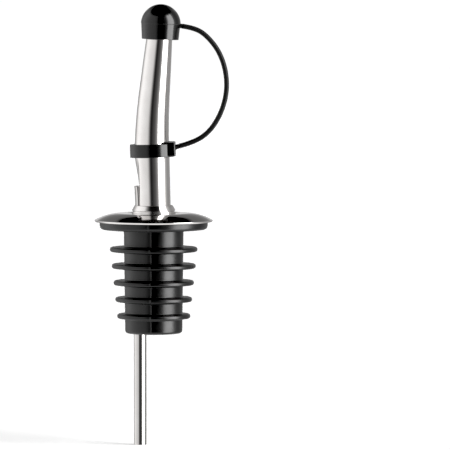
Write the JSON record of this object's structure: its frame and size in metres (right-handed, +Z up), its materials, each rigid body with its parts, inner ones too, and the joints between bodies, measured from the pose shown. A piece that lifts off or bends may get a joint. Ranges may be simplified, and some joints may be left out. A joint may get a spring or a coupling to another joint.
{
  "type": "bottle pour spout",
  "caption": "Tapered steel bottle pour spout with breather tube, domed drip disc, finned rubber stopper, and a rubber dust cap tethered to a ring that turns on the spout.",
  "frame": {"origin": "centre of the bottle lip seat, the underside of the stopper's flange", "axes": "+Z up along the stopper's axis towards the spout's tip, +X the way the spout bends and the tether bows out"},
  "size_m": [0.0341, 0.03, 0.1117],
  "materials": {
    "polished_steel": "mirror polished",
    "braze_filler": "dull silver braze",
    "stopper_rubber": "satin moulded",
    "cap_rubber": "semi-gloss moulded"
  },
  "bodies": {
    "root": {"spout_tube": "polished_steel", "breather_tube": "polished_steel", "stem_ferrule": "polished_steel", "drip_disc": "polished_steel", "braze_joint": "braze_filler", "cork_stopper": "stopper_rubber"},
    "ring": {"tether_ring": "cap_rubber", "cap_tether": "cap_rubber"},
    "cap": {"dust_cap": "cap_rubber"}
  },
  "joints": [
    {"name": "ring_turn", "type": "hinge", "parent": "root", "child": "ring", "pos_m": [-0.00044, 0, 0.02], "axis": [0.0685, 0, 0.9977], "continuous": true},
    {"name": "cap_pull", "type": "slide", "parent": "ring", "child": "cap", "axis": [0.0685, 0, 0.9977], "range_m": [0, 0.014], "deforming": ["cap_tether"]}
  ]
}
